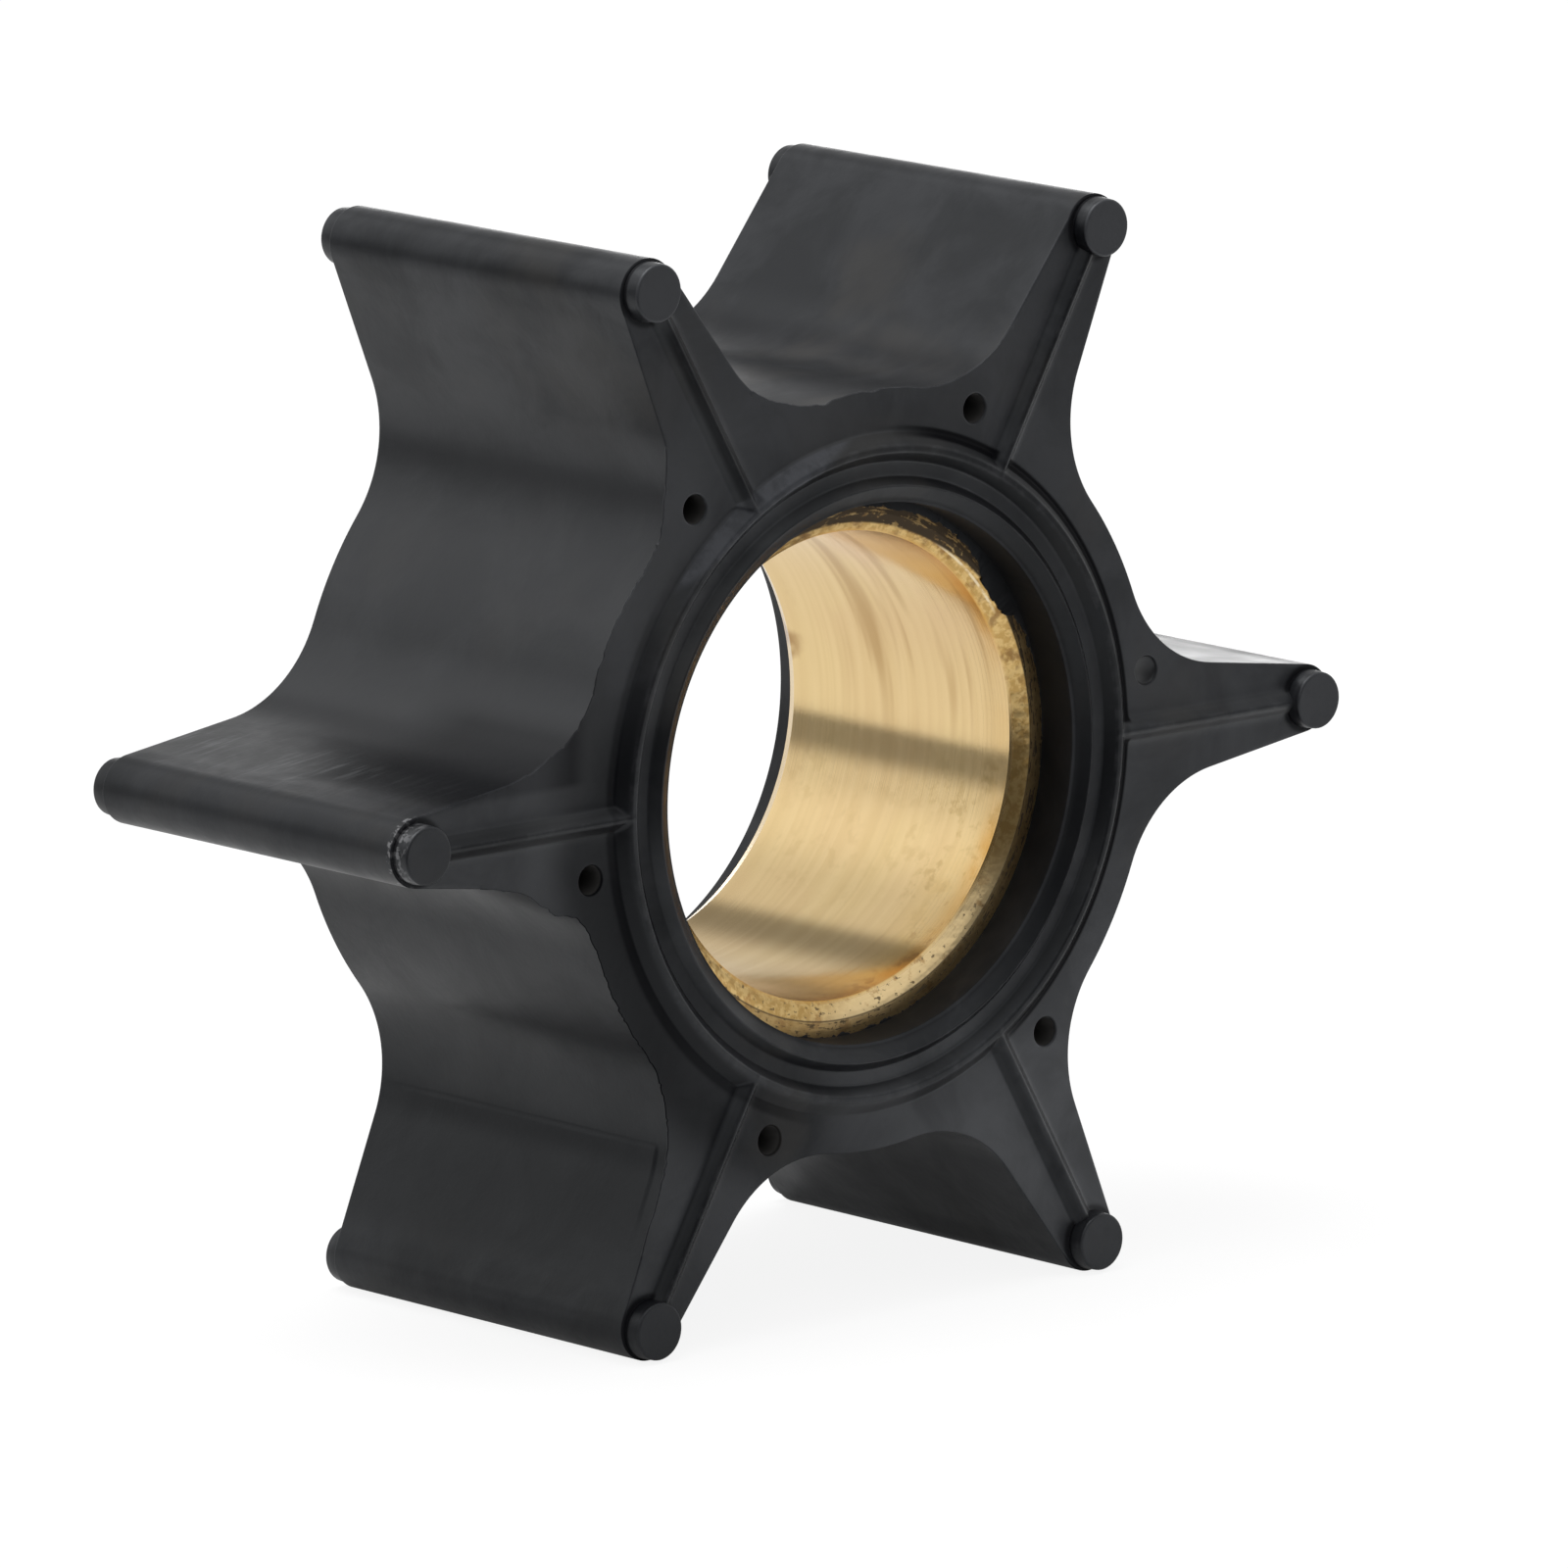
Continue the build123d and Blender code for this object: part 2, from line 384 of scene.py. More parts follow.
def star_outline():
    """The half vane mirrored, then repeated round the shaft, as one loop."""
    points, normals, starts = half_vane()
    flip = np.array([1, -1])
    points = np.concatenate([(points * flip)[:0:-1], points[:-1]])
    normals = np.concatenate([(normals * flip)[:0:-1], normals[:-1]])
    starts = np.concatenate([-starts[:0:-1], starts[:-1]])
    turns = np.arange(VANE_COUNT) * PITCH
    cosine, sine = np.cos(turns)[:, None], np.sin(turns)[:, None]

    def around(pairs):
        """Pairs of x and z, turned to each vane in turn."""
        x = pairs[:, 0] * cosine - pairs[:, 1] * sine
        z = pairs[:, 0] * sine + pairs[:, 1] * cosine
        return np.stack([x.ravel(), z.ravel()], -1)

    return around(points), around(normals), (starts + turns[:, None]).ravel()


def bush_outside(angle):
    """Radius of the bush's outside: a circle with keying flutes cut in it.

    In a flute it is the distance along the ray to the flute's centre line,
    less half the chord that the ray cuts from the flute's circle.
    """
    step = 2 * math.pi / FLUTE_COUNT
    off = (angle / step - np.floor(angle / step) - 0.5) * step
    side = BUSH_RADIUS * np.sin(off)
    cut = BUSH_RADIUS * np.cos(off) - np.sqrt(np.clip(FLUTE_RADIUS ** 2 - side ** 2, 0, None))
    return np.where(np.abs(side) < FLUTE_RADIUS, cut, BUSH_RADIUS)


def rubber_half(side):
    """Rows of the moulding from its middle over one end face into the seat.

    Each row is one loop round the shaft: up the outside wall, round the rim,
    across the end face to the ring zone, over the rings, down the recess and
    along the bush's seat back to the middle. Rows lie close at every bend.
    """
    points, normals, starts = star_outline()
    wall = FACE - RIM_ROUND
    rows = [lay_out(points, along) for along in (0, 0.35 * wall, 0.7 * wall, wall - 0.3, wall - NEAR_EDGE)]
    for turn in np.linspace(0, math.pi / 2, 6):
        inset = RIM_ROUND * (1 - math.cos(turn))
        rows.append(lay_out(points - normals * inset, wall + RIM_ROUND * math.sin(turn)))
    rim = rows[-1][:, ::2]
    ray = np.stack([np.cos(starts), np.sin(starts)], -1)
    length = np.hypot(*(rim - RING_ZONE * ray).T)
    for share in (NEAR_EDGE / length, 0.12, 0.25, 0.4, 0.55, 0.7, 0.85, 1):
        flat = rim + (RING_ZONE * ray - rim) * np.reshape(share, (-1, 1))
        rows.append(lay_out(flat, FACE + relief(*flat.T)))
    bends = np.array([-0.08, -0.03, 0.03, 0.08])
    kinks = (RING_OUTER_FOOT, RING_OUTER_CREST, RING_INNER_CREST, RING_INNER_FOOT, LIP_FOOT, LIP_CREST)
    slope = np.linspace(RING_OUTER_CREST + 0.16, RING_OUTER_FOOT - 0.16, 4)
    radii = np.concatenate([kink + bends for kink in kinks] + [slope, [RECESS_RADIUS + 0.2]])
    for radius in np.sort(radii)[::-1]:
        flat = radius * ray
        rows.append(lay_out(flat, FACE + relief(*flat.T)))
    for turn in np.linspace(0, math.pi / 2, 4):
        radius = RECESS_RADIUS + EDGE_ROUND * (1 - math.sin(turn))
        rows.append(lay_out(radius * ray, FACE + LIP_START - EDGE_ROUND * (1 - math.cos(turn))))
    for along in (FACE - 0.15, FACE - 1.2, BUSH_END + 0.1, BUSH_END):
        rows.append(lay_out(RECESS_RADIUS * ray, along))
    seat = bush_outside(starts)[:, None] * ray
    rows += [lay_out(seat, along) for along in (BUSH_END, BUSH_END / 2, 0)]
    return [row * (1, side, 1) for row in rows]


def turned_piece(name, profile, middle, columns):
    """A closed solid turned about an axis along Y: radius and place by row.

    A point is the middle plus the radius times cosine and sine of its angle.
    A fan of triangles closes each end.
    """
    angle = np.linspace(0, 2 * math.pi, columns, endpoint=False)
    centre = np.array([middle[0], 0, middle[1]])
    rows = [loop_row(angle, radius, along) + centre for radius, along in profile]
    ends = [[middle[0], along, middle[1]] for _, along in (profile[0], profile[-1])]
    loop = np.arange(columns)
    ahead = np.roll(loop, -1)
    first = len(profile) * columns
    top = first - columns
    start_fan = np.stack([ahead, loop, np.full(columns, first)], -1)
    end_fan = np.stack([loop + top, ahead + top, np.full(columns, first + 1)], -1)
    faces = ring_faces(len(profile), columns, False) + start_fan.tolist() + end_fan.tolist()
    return mesh_object(name, np.concatenate(rows + [ends]), faces)


def button_profile(side):
    """Half section of a button: up its side, then a quarter circle onto its top."""
    turns = np.linspace(0, math.pi / 2, 5)
    radii = BUTTON_TOP_RADIUS - BUTTON_ROUND * (1 - np.cos(turns))
    places = FACE + BUTTON_HEIGHT - BUTTON_ROUND * (1 - np.sin(turns))
    rows = [(BUTTON_FOOT_RADIUS, FACE - BUTTON_ROOT), (BUTTON_FOOT_RADIUS, FACE)]
    rows += [(BUTTON_FOOT_RADIUS - 0.01, FACE + BUTTON_HEIGHT / 4), *zip(radii, places)]
    rows.append((radii[-1] - 0.05, places[-1]))
    return [(radius, side * along) for radius, along in rows]


def hole_profile(depth):
    """Half section of a moulding hole: its wall, then a quarter circle that flares its mouth."""
    turns = np.linspace(0, math.pi / 2, 5)
    floor = FACE - depth
    flare = min(HOLE_FLARE, depth / 2)
    rows = [(HOLE_RADIUS - flare, floor), (HOLE_RADIUS - 0.02, floor + flare / 2)]
    rows += [(HOLE_RADIUS + flare * (1 - math.cos(t)), FACE - flare * (1 - math.sin(t))) for t in turns]
    rows.append((HOLE_RADIUS + flare, FACE + 0.3))
    return [(radius, -along) for radius, along in rows]


def outward(piece):
    """Recalculates a closed mesh's normals to face out."""
    shape = bmesh.new()
    shape.from_mesh(piece.data)
    bmesh.ops.recalc_face_normals(shape, faces=shape.faces)
    shape.to_mesh(piece.data)
    shape.free()


def combine(piece, tools, operation):
    """Joins or cuts the tools into the piece and keeps the finished mesh."""
    group = bpy.data.collections.new(operation)
    for tool in tools:
        outward(tool)
        bpy.context.scene.collection.objects.unlink(tool)
        group.objects.link(tool)
    modifier = piece.modifiers.new(operation, "BOOLEAN")
    modifier.operation = operation
    modifier.operand_type = "COLLECTION"
    modifier.collection = group
    modifier.solver = "MANIFOLD"
    graph = bpy.context.evaluated_depsgraph_get()
    finished = bpy.data.meshes.new_from_object(piece.evaluated_get(graph))
    piece.modifiers.clear()
    piece.data = finished
    for tool in tools:
        bpy.data.objects.remove(tool)
    bpy.data.collections.remove(group)


def ragged(angle, knots, seed):
    """Roughness of a torn edge, -1 to 1: random knots joined by straight lines."""
    numbers = np.random.default_rng(seed)
    places = np.sort(numbers.uniform(0, 2 * math.pi, knots))
    return np.interp(angle, places, numbers.uniform(-1, 1, knots), period=2 * math.pi)


def make_flash():
    """Ragged skin on the front rim, left where the mould's halves met.

    A thin strip runs along the outline. Its outer edge lies off the outline
    by the width that FLASH gives for the angle, plus a torn roughness. Where
    there is none, the strip stays inside the rubber.
    """
    points, normals, _ = star_outline()
    outline = np.hstack([points, normals])
    outline = np.vstack([outline, outline[:1]])
    length = np.concatenate([[0], np.cumsum(np.hypot(*np.diff(outline[:, :2], axis=0).T))])
    place = np.arange(0, length[-1], FLASH_STEP)
    x, z, normal_x, normal_z = (np.interp(place, length, column) for column in outline.T)
    angle = np.arctan2(z, x)
    degrees = np.degrees(angle)
    width = np.interp(degrees % 360, FLASH[:, 0], FLASH[:, 1])
    middle, span, roughness = FLASH_CALM
    calm = np.where(np.abs(degrees - middle) < span, roughness, 1)
    torn = calm * (0.06 * ragged(angle, 900, 3) + 0.03 * ragged(angle, 260, 5))
    reach = np.where(width > 0.02, np.maximum(width + torn, 0.02), -0.15)
    level = np.where(width > 0.02, -0.002, 0.03)
    section = (
        (-FLASH_ROOT, 0.3), (-0.26, 0.05), (-0.25, level), (reach - 0.04, level), (reach, 0.05),
        (reach - 0.01, FLASH_THICK - 0.02), (reach - 0.05, FLASH_THICK),
    )
    return loop_solid("flash", [
        lay_out(np.stack([x + normal_x * off, z + normal_z * off], -1), along - FACE)
        for off, along in section
    ])


def make_film():
    """Ragged film of rubber that crept over the bush's front end face.

    It reaches from under the recess's wall in to the radius that FILM gives
    for the angle, plus a torn roughness.
    """
    angle = np.linspace(-math.pi, math.pi, FILM_COLUMNS, endpoint=False)
    inner = np.interp(np.degrees(angle), FILM[:, 0], FILM[:, 1])
    torn = 0.1 * ragged(angle, 500, 11) + 0.08 * ragged(angle, 140, 12)
    inner = np.minimum(inner + torn, RECESS_RADIUS + 0.05)
    outer = RECESS_RADIUS + 0.15
    section = (
        (outer, -0.02), (outer, FILM_THICK), (inner + 0.04, FILM_THICK), (inner, 0.01), (inner, -0.02),
    )
    return loop_solid("film", [loop_row(angle, radius, -BUSH_END - height) for radius, height in section])


def place_on_vane(number, along, turn=0.0):
    """Middle of a feature at a distance along a vane, turned off its plane."""
    angle = number * PITCH + turn
    return along * math.cos(angle), along * math.sin(angle)


def make_rubber():
    """The moulded body with its buttons joined on and its holes cut."""
    piece = loop_solid("moulded_body", rubber_half(-1) + rubber_half(1)[-2:0:-1])
    outward(piece)
    buttons = []
    for number in range(VANE_COUNT):
        middle = place_on_vane(number, BUTTON_CIRCLE)
        for side in (-1, 1):
            buttons.append(turned_piece("button", button_profile(side), middle, BUTTON_COLUMNS))
    combine(piece, buttons + [make_flash(), make_film()], "UNION")
    holes = []
    for number in range(VANE_COUNT):
        depth = DIMPLE_DEPTH if number == CLOSED_HOLE else HOLE_DEPTH
        middle = place_on_vane(number, HOLE_CIRCLE, HOLE_ANGLE)
        holes.append(turned_piece("hole", hole_profile(depth), middle, HOLE_COLUMNS))
    combine(piece, holes, "DIFFERENCE")
    piece.data.shade_smooth()
    piece.data.set_sharp_from_angle(angle=RUBBER_SHARP)
    return piece


def bore_radius(angle):
    """Radius of the bore, with the keyway on its left side.

    In the keyway it is the nearer of the flat floor and the side wall: the
    floor's distance over the cosine, and half the width over the sine.
    """
    off = np.angle(np.exp(1j * (angle - math.pi)))
    floor = KEYWAY_FLOOR / np.cos(np.clip(off, -1, 1))
    wall = KEYWAY_HALF / np.maximum(np.abs(np.sin(off)), 1e-6)
    slot = np.where(np.abs(off) < 1, np.minimum(floor, wall), 0)
    return np.maximum(BORE_RADIUS, slot)


def bush_half(angle, side, wide, deep):
    """Rows of the bush from the middle of its bore over one end to its outside.

    A row's radius is the bore's, or the bevel's where that is larger.
    """
    inside, outside = bore_radius(angle), bush_outside(angle)
    section = [(inside, along) for along in (0, 0.5 * BUSH_END, BUSH_END - deep - 0.1, BUSH_END - deep)]
    section += [
        (np.maximum(inside, BORE_RADIUS + 0.5 * wide), BUSH_END - 0.5 * deep),
        (np.maximum(inside, BORE_RADIUS + wide - 0.02), BUSH_END - 0.02 * deep),
        (np.maximum(inside, BORE_RADIUS + wide + 0.02), BUSH_END),
        (np.maximum(inside, RECESS_RADIUS - 0.2), BUSH_END),
        (outside, BUSH_END),
        (outside, BUSH_END - 0.3),
    ]
    return [loop_row(angle, radius, side * along) for radius, along in section]


def make_bush():
    """The brass bush: bore, bevels, end faces and fluted outside."""
    corners = [math.atan2(KEYWAY_HALF, KEYWAY_FLOOR), math.asin(KEYWAY_HALF / BORE_RADIUS)]
    marks = [math.pi + sign * corner for corner in corners for sign in (-1, 1)]
    even = np.linspace(0, 2 * math.pi, BUSH_COLUMNS, endpoint=False)
    angle = np.unique(np.concatenate([even, marks]))
    front, back = bush_half(angle, -1, *FRONT_BEVEL), bush_half(angle, 1, *BACK_BEVEL)
    piece = loop_solid("turned_bush", front + back[:0:-1])
    outward(piece)
    piece.data.set_sharp_from_angle(angle=BRASS_SHARP)
    return piece


# Node helpers

def feed(socket, value):
    """Links a socket to another socket, or gives it a plain value."""
    if isinstance(value, bpy.types.NodeSocket):
        socket.id_data.links.new(value, socket)
    else:
        socket.default_value = value


def add_node(tree, kind, inputs=None, **settings):
    """A node with its settings, and its input sockets fed."""
    node = tree.nodes.new(kind)
    for name, value in settings.items():
        setattr(node, name, value)
    for name, value in (inputs or {}).items():
        feed(node.inputs[name], value)
    return node


def node_after(kind, inputs, **settings):
    """A node in the tree of the sockets that feed it."""
    tree = next(value.id_data for value in inputs.values() if isinstance(value, bpy.types.NodeSocket))
    return add_node(tree, kind, inputs, **settings)


def empty_tree(owner, output_kind):
    """The owner's cleared node tree, and the surface socket of its new output."""
    owner.use_nodes = True
    tree = owner.node_tree
    tree.nodes.clear()
    return tree, tree.nodes.new(output_kind).inputs["Surface"]


def fold(operation, *values):
    """Several values taken together by one operation, from the first to the last."""
    result = values[0]
    for value in values[1:]:
        result = node_after("ShaderNodeMath", {0: result, 1: value}, operation=operation).outputs["Value"]
    return result


def product(*values):
    """Several values multiplied."""
    return fold("MULTIPLY", *values)


def total(*values):
    """Several values added up."""
    return fold("ADD", *values)


def greatest(*values):
    """The greatest of several values."""
    return fold("MAXIMUM", *values)


def without_sign(value):
    """The value's distance from 0."""
    return node_after("ShaderNodeMath", {0: value}, operation="ABSOLUTE").outputs["Value"]


def vector_math(operation, first, second=(0, 0, 0)):
    """The result of an operation on two vectors, or on the first one alone."""
    node = node_after("ShaderNodeVectorMath", {0: first, 1: second}, operation=operation)
    return node.outputs["Value" if operation in ("DOT_PRODUCT", "LENGTH") else "Vector"]


def ramp(value, start, end, low=0.0, high=1.0):
    """Maps a value to low..high with a soft start and end."""
    return node_after("ShaderNodeMapRange", {
        "Value": value, "From Min": start, "From Max": end, "To Min": low, "To Max": high,
    }, interpolation_type="SMOOTHSTEP").outputs["Result"]


def fade(distance, start, end, low=0.0, high=1.0):
    """Maps a distance between two places in millimetres to low..high."""
    return ramp(distance, start * MM, end * MM, low, high)


def fade_out(distance, start, end):
    """Falls from 1 to 0 between two places in millimetres."""
    return fade(distance, start, end, 1.0, 0.0)


def band(distance, low, high, soft):
    """1 between two places in millimetres, fading over a soft width outside them."""
    return product(fade(distance, low - soft, low), fade_out(distance, high, high + soft))


def noise(place, scale, detail=2.0, roughness=0.5, distortion=0.0):
    """Soft noise, 0 to 1, by place."""
    return node_after("ShaderNodeTexNoise", {
        "Vector": place, "Scale": scale, "Detail": detail, "Roughness": roughness, "Distortion": distortion,
    }).outputs["Fac"]


def line_noise(value, scale, detail=2.0):
    """Noise that changes with one value only."""
    return node_after("ShaderNodeTexNoise", {
        "W": value, "Scale": scale, "Detail": detail}, noise_dimensions="1D").outputs["Fac"]


def polar_noise(turn, value, scale, detail=3.0):
    """Noise drawn out round the shaft, from an angle and a second value."""
    polar = node_after("ShaderNodeCombineXYZ", {
        "X": product(turn, scale[0]), "Y": product(value, scale[1])})
    return noise(polar.outputs["Vector"], 1.0, detail, 0.6, 0.3)


def coordinates(place):
    """The place's distances along X, Y and Z."""
    return tuple(node_after("ShaderNodeSeparateXYZ", {"Vector": place}).outputs)


def across_shaft(place, turn):
    """Distance along a direction square to the shaft, given by its angle."""
    return vector_math("DOT_PRODUCT", place, (math.cos(turn), 0, math.sin(turn)))


def off_axis(place, middle=(0.0, 0.0)):
    """Distance from a line along Y through a point given by its x and z in millimetres."""
    off = vector_math("SUBTRACT", place, (middle[0] * MM, 0.0, middle[1] * MM))
    return vector_math("LENGTH", vector_math("MULTIPLY", off, (1.0, 0.0, 1.0)))


def nearest_axis(place, middles):
    """Distance from the nearest of several lines along Y."""
    return fold("MINIMUM", *(off_axis(place, middle) for middle in middles))


def toward(place, degrees, start, end):
    """Grows from 0 to 1 between two places along a direction across the shaft, in millimetres."""
    return fade(across_shaft(place, math.radians(degrees)), start, end)


def mix_colors(share, first, second):
    """Blends two colours by a share."""
    node = node_after("ShaderNodeMix", {"Factor": share}, data_type="RGBA")
    sockets = [socket for socket in node.inputs if socket.type == "RGBA"]
    for socket, color in zip(sockets, (first, second)):
        feed(socket, color)
    return next(socket for socket in node.outputs if socket.type == "RGBA")


def paint(color, *coats):
    """Lays coats over a colour in turn, each given by its mask and its own colour."""
    for mask, coat in coats:
        color = mix_colors(mask, color, coat)
    return color


def surface_group(name, build, labels):
    """A node group that works on the object's own coordinates.

    The build function gets the place, and returns the values for the
    labelled outputs, in their order. All but the colour are single values.
    """
    tree = bpy.data.node_groups.new(name, "ShaderNodeTree")
    tree.interface.new_socket(name="Place", in_out="INPUT", socket_type="NodeSocketVector")
    for label in labels:
        kind = "NodeSocketColor" if label == "Color" else "NodeSocketFloat"
        tree.interface.new_socket(name=label, in_out="OUTPUT", socket_type=kind)
    source = tree.nodes.new("NodeGroupInput")
    target = tree.nodes.new("NodeGroupOutput")
    for label, value in zip(labels, build(source.outputs["Place"])):
        feed(target.inputs[label], value)
    return tree


# Rubber

def flank_panel(place, y):
    """Mask of the shallow sunk panel on the lower left vane's outer flank."""
    vane = 4 * PITCH
    along = across_shaft(place, vane)
    off_middle = across_shaft(place, vane - math.pi / 2 + FLANK_TAPER)
    flank = TIP_CIRCLE * math.sin(FLANK_TAPER) + TIP_RADIUS
    return product(
        fade(off_middle, flank - 0.3, flank - 0.15),
        fade(along, 22.95, 23.4), fade_out(along, 25.0, 28.5),
        fade(y, -10.9, -10.45), fade_out(y, 9.0, 12.0),
    )


def face_wear_and_light(place, radius):
    """How grey the end faces are, partly rubbed and partly painted light and shade: by vane, and less at
    the hub's lower left as painted shade.
    """
    left_hub = product(toward(place, 212, 9, 15), fade_out(radius, 21, 24), -0.5)
    vanes = [product(toward(place, degrees, 16, 22), tone) for degrees, tone in FACE_WEAR_AND_LIGHT]
    return total(0.5, left_hub, *vanes)


def button_tone(place, depth):
    """How grey the tops of the buttons have been rubbed, most on the upper vanes."""
    upper = total(0.22, product(toward(place, 80, -8, 22), 0.78))
    return product(upper, fade(depth, FACE + 0.8, FACE + 0.98))


def hole_dust(place, y):
    """Mask of the insides of the open moulding holes, where dust has settled."""
    open_holes = [
        place_on_vane(number, HOLE_CIRCLE, HOLE_ANGLE)
        for number in range(VANE_COUNT) if number != CLOSED_HOLE
    ]
    return product(
        fade_out(nearest_axis(place, open_holes), HOLE_RADIUS + 0.02, HOLE_RADIUS + 0.07),
        fade(y, 0.04 - FACE, 0.2 - FACE),
        fade_out(y, -2.0, 0.0),
    )


def shaded_seams(place, y, radius):
    """Mask of corners and creases on the front face darkened as painted shade.

    They are the outer foot of the ring, the foot of the ring on its lower
    left, the upper side of the top left vane's rib, and the feet of the
    buttons. The strongest counts, and only on the front face.
    """
    ring = product(
        band(radius, RING_OUTER_FOOT - 0.3, RING_ZONE, 0.24), toward(place, 12, 3, 9),
        fade(y, -0.45 - FACE, -0.15 - FACE),
    )
    left_foot = product(
        band(radius, RING_ZONE - 0.6, RING_ZONE + 0.2, 0.4), toward(place, 200, 8, 13), 0.4)
    rib = product(
        band(across_shaft(place, 2 * PITCH - math.pi / 2), -0.25, 0.7, 0.3),
        toward(place, 120, 17.6, 18.0), fade(radius, 29.0, 30.5, 0.5, 0.0),
    )
    middles = [place_on_vane(number, BUTTON_CIRCLE) for number in range(VANE_COUNT)]
    nearest = nearest_axis(place, middles)
    button = product(
        fade(nearest, 1.54, 1.6), fade(y, -0.28 - FACE, -0.12 - FACE),
        fade(nearest, 1.75, 2.1, 0.7, 0.0),
    )
    seams = greatest(ring, left_foot, rib, button)
    return product(seams, fade_out(y, 0.1 - FACE, 0.15 - FACE))


def painted_shade_places(place, y, z, radius):
    """Masks of three places where colour and sheen are darkened as painted shade.

    They are the vanes on the lower left, the rings and the recess on their
    right side, and the front half of the left vane's upper flank.
    """
    side = product(toward(place, 205, 13, 20), fade(radius, 29.5, 31.5, 1.0, 0.45))
    ring = product(toward(place, 8, 4, 13), fade_out(radius, 18.1, 18.5), fade(y, -9.5, -9.0, 0.75, 0.0))
    top = product(
        fade_out(y, -4.0, 2.0), band(z, 2.4, 6.0, 0.5),
        toward(place, 180, 20, 21.5), fade_out(radius, 29.5, 31.0),
    )
    return side, ring, top


def rubber_color(place, cloud, rubbed, black):
    """Colour of the rubber: black, with warm patches, wear and dust, and painted light and shade.

    Clouds of two sizes blend two blacks, and each coat that lies on them has
    a mask of its own.
    """
    x, y, z = coordinates(place)
    radius = off_axis(place)
    flow = noise(vector_math("MULTIPLY", place, (300.0, 2600.0, 300.0)), 1.0, 3.0, 0.55)
    scuff = noise(place, 1100.0, 4.0, 0.6)
    tone = total(product(cloud, 0.6), product(noise(place, 70.0, 3.0), 0.4))
    warm = ramp(noise(place, 110.0, 3.0, 0.6, 0.3), 0.5, 0.68, 0.0, 0.6)
    # painted light: the hub walls on the upper left made paler
    lit_wall = product(toward(place, 150, 17, 20), fade(radius, 23, 27, 0.65, 0.0))
    crest = product(
        band(without_sign(y), FACE + 0.58, FACE + 0.72, 0.06),
        ramp(scuff, 0.45, 0.7, 0.02, 0.22),
    )
    # painted highlight on the raised ring's upper left
    ring_highlight = product(
        toward(place, 118, 16.7, 17.2), fade_out(radius, 18.5, 18.7),
        fade_out(y, -0.15 - FACE, -0.04 - FACE),
        ramp(scuff, 0.35, 0.65, 0.5, 1.0),
    )
    worn_side = product(
        ramp(flow, 0.52, 0.72), band(z, 2.3, 3.2, 0.7),
        fade_out(x, -28.0, -25.0), fade(y, -7.0, 2.0, 0.1, 0.7),
    )
    from_button = off_axis(place, (-BUTTON_CIRCLE, 0.0))
    chip = product(
        ramp(noise(place, 2200.0, 3.0, 0.6), 0.5, 0.62),
        band(from_button, 1.62, 1.95, 0.1), fade_out(y, 0.35 - FACE, 0.5 - FACE),
        fade(x, -31.6, -32.6),
    )
    skin = mix_colors(ramp(tone, 0.40, 0.60), DEEP_BLACK, CLOUDY_BLACK)
    # The near-black coat is painted shade, the pale grey on the hub walls painted light, the bluish grey on
    # the ring a painted highlight, and the rubbed grey partly painted light and shade.
    return paint(
        skin, (warm, WARM_BLOOM), (product(black, 0.85), PAINTED_SHADE_BLACK), (lit_wall, LIT_WALL_GREY),
        (rubbed, RUBBED_AND_LIT_GREY), (crest, CREST_GREY), (ring_highlight, RING_HIGHLIGHT_GREY), (worn_side, WORN_GREY),
        (chip, CHIP_GREY), (hole_dust(place, y), HOLE_DUST),
    )


def rubber_surface(place):
    """Colour, roughness, height and sheen of the moulded rubber.

    Cloudy warm patches, a fine grain, faint flow lines, end faces greyer
    partly by rubbing and partly as painted light and shade, buttons rubbed
    grey, rough tips, seams darkened as painted shade and a sunk panel on one
    vane. The sheen grows where a face is greyer, and falls in the seams, in
    the places of painted shade, along the rim and on the ribs.
    """
    _, y, z = coordinates(place)
    depth = without_sign(y)
    radius = off_axis(place)
    cloud = noise(place, 190.0, 4.0, 0.6, 0.5)
    mottle = noise(place, 850.0, 3.0, 0.55, 0.3)
    grain = noise(place, 3500.0, 3.0, 0.6)
    tone = face_wear_and_light(place, radius)
    face = band(depth, FACE - 0.04, FACE + 0.04, 0.08)
    rim = band(depth, FACE - 0.07, FACE - 0.02, 0.015)
    ridge = product(band(depth, FACE + 0.35, FACE + 0.75, 0.1), band(radius, 18.9, 30.0, 0.4))
    seams = shaded_seams(place, y, radius)
    # three masks of painted shade, which darken the colour and lower the sheen
    side, ring, top = painted_shade_places(place, y, z, radius)
    black = greatest(side, ring, top)
    # the faces' grey is partly rubbed wear and partly painted light and shade
    rubbed = greatest(product(face, tone, ramp(cloud, 0.3, 0.7, 0.5, 1.0)), button_tone(place, depth))
    # the seams are darkened as painted shade
    color = mix_colors(seams, rubber_color(place, cloud, rubbed, black), SEAM_SHADE)
    recess = product(
        fade_out(y, -1.0, 0.0),
        fade(radius, RECESS_RADIUS + 0.05, RECESS_RADIUS + 0.4, 0.35, 0.0),
    )
    tips = fade(radius, 30.6, 31.6)
    roughness = total(ramp(cloud, 0.3, 0.7, *CLOUD_ROUGHNESS), recess, product(tips, TIP_ROUGHNESS))
    height = total(
        product(grain, GRAIN_RELIEF), product(cloud, CLOUD_RELIEF),
        product(mottle, ramp(tips, 0.0, 1.0, *MOTTLE_RELIEF)),
        product(flank_panel(place, y), PANEL_RELIEF),
    )
    # black, ring and top lower the sheen as painted shade
    dulled = ((black, -0.045), (ring, -0.11), (top, -0.22), (rim, -0.25), (ridge, -0.045))
    sheen = total(
        # in the seams the sheen falls as painted shade
        ramp(seams, 0.0, 1.0, SHEEN, SEAM_SHEEN),
        product(face, total(tone, -0.5), WEAR_AND_LIGHT_SHEEN),
        *(product(mask, change) for mask, change in dulled),
    )
    return color, roughness, height, greatest(sheen, LEAST_SHEEN)


# Brass

